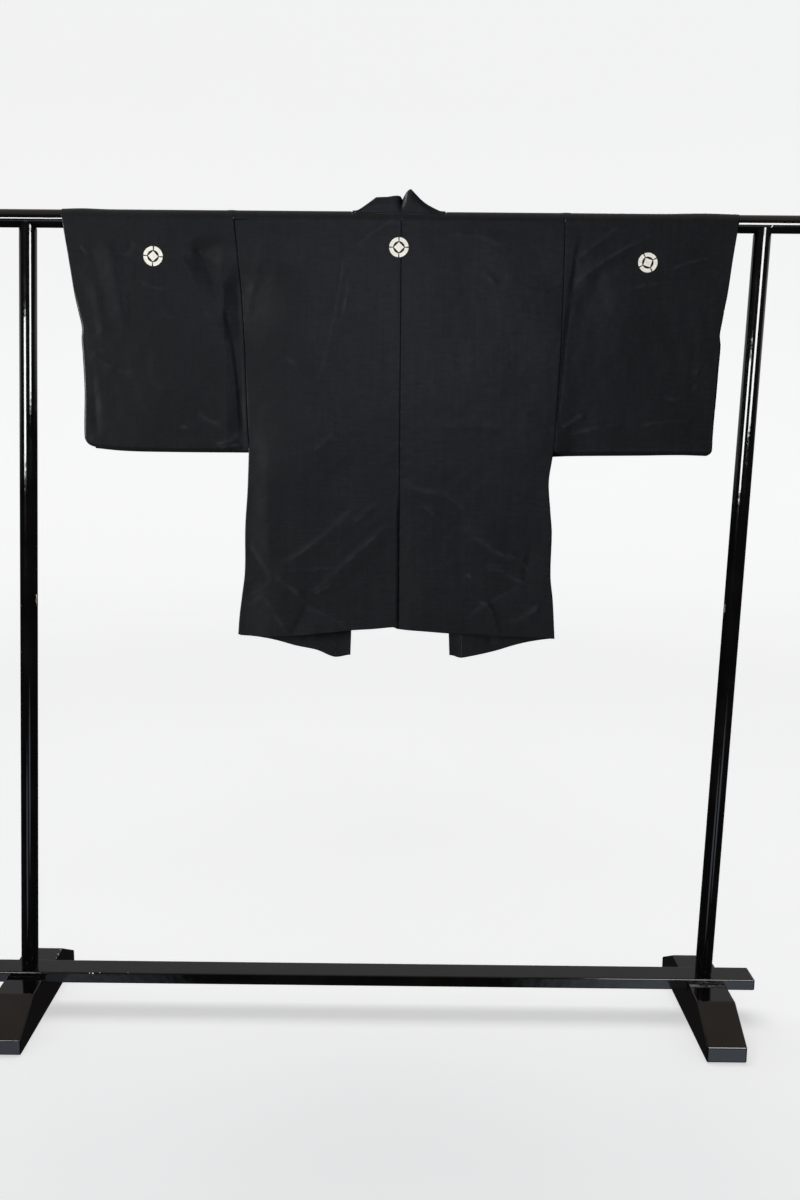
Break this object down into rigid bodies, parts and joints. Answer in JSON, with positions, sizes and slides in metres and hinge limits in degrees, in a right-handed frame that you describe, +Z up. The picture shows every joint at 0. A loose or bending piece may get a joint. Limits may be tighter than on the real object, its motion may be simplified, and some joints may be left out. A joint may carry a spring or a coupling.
{
  "type": "haori jacket on a kimono stand",
  "caption": "Black silk haori jacket with small crests, seen from its back, hung by both sleeves over the rail of a black lacquered kimono stand",
  "frame": {"origin": "on the floor, under the middle of the rail", "axes": "+X along the rail, the wearer's left sleeve at -X; the jacket's back faces -Y; +Z up"},
  "size_m": [1.7402, 0.424, 1.7042],
  "materials": {
    "silk": "black plain-woven silk with a soft low sheen",
    "lacquer": "glossy black lacquer on wood",
    "crest": "off-white crest reserved in the dyed silk"
  },
  "bodies": {
    "root": {"body_left": "silk", "body_right": "silk", "sleeve_left": "silk", "sleeve_right": "silk", "gusset_left": "silk", "gusset_right": "silk", "collar": "silk", "rail": "lacquer", "post_left": "lacquer", "post_right": "lacquer", "stretcher": "lacquer", "foot_left": "lacquer", "foot_right": "lacquer"}
  },
  "joints": []
}
